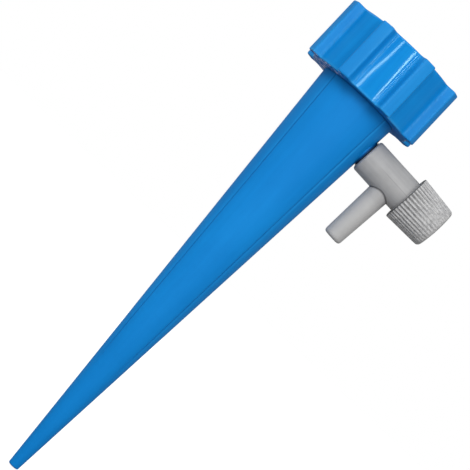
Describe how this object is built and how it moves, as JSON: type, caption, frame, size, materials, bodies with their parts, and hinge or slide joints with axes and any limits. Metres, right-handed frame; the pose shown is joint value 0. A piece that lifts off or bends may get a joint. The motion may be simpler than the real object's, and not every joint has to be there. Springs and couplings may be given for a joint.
{
  "type": "drip watering spike",
  "caption": "Hollow tapered soil spike with a fluted screw head for a drinks bottle and a side needle valve with a serrated knob and a drip nozzle.",
  "frame": {"origin": "on the spike's axis at the soil line, 80 mm above the tip", "axes": "+Z along the spike's axis towards the bottle; +X towards the valve and its knob"},
  "size_m": [0.0517, 0.0334, 0.135],
  "materials": {
    "satin_blue": "satin moulded plastic",
    "gloss_blue": "glossy moulded plastic",
    "grey_plastic": "satin moulded plastic",
    "pale_plastic": "plain moulded plastic",
    "black_rubber": "matte rubber"
  },
  "bodies": {
    "spike": {"spike_cone": "satin_blue", "threaded_cap": "gloss_blue", "bottle_gasket": "black_rubber", "valve_gasket": "black_rubber", "valve_body": "grey_plastic"},
    "seal": {"spindle_o_ring": "black_rubber"},
    "knob": {"valve_knob": "grey_plastic", "valve_spindle": "pale_plastic"}
  },
  "joints": [
    {"name": "spindle_travel", "type": "slide", "parent": "spike", "child": "seal", "axis": [0.9969, 0, -0.0782], "range_m": [0, 0.00225]},
    {"name": "knob_turn", "type": "hinge", "parent": "seal", "child": "knob", "pos_m": [0.01012, 0, 0.03103], "axis": [0.9969, 0, -0.0782], "range_deg": [0, 540]}
  ],
  "couplings": [
    {"joint": "knob_turn", "follows": "spindle_travel", "rad_per_m": 4188.8}
  ]
}
